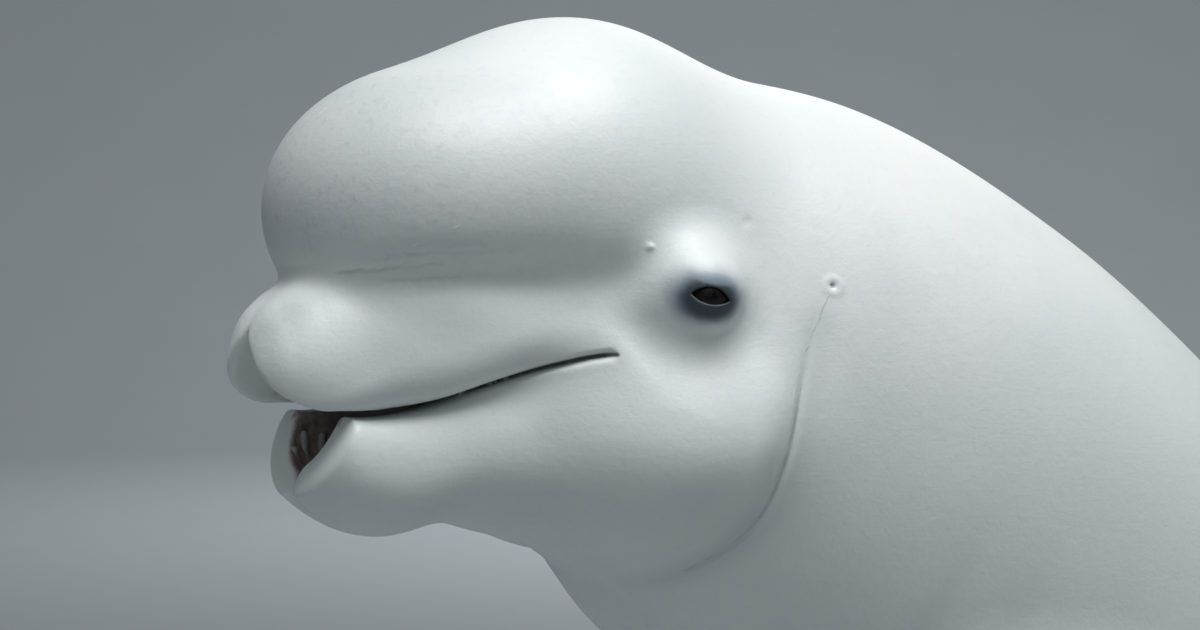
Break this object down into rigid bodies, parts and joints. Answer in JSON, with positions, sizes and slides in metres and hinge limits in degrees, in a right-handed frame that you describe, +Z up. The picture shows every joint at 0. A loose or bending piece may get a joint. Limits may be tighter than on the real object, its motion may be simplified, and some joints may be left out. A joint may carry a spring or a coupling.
{
  "type": "beluga whale model",
  "caption": "Life-size still model of an adult beluga whale, head level with the jaws a little open, held over a flat base by short rods under the belly.",
  "frame": {"origin": "middle of the whole model's box, on the underside of the stand's base", "axes": "+Z up, -Y the way the snout points, +X the animal's left side"},
  "size_m": [1.112, 3.8278, 1.6347],
  "materials": {
    "skin": "satin",
    "eye": "gloss",
    "tooth": "satin",
    "stand_base": "satin paint",
    "stand_rod": "satin"
  },
  "bodies": {
    "root": {"melon": "skin", "head": "skin", "lower_jaw": "skin", "neck": "skin", "trunk_front": "skin", "trunk_middle": "skin", "trunk_rear": "skin", "tail_stock": "skin", "fluke_left": "skin", "fluke_right": "skin", "flipper_left": "skin", "flipper_right": "skin", "eye_left": "eye", "eye_right": "eye", "stand_base": "stand_base", "stand_rod_front": "stand_rod", "stand_rod_rear": "stand_rod"}
  },
  "joints": []
}
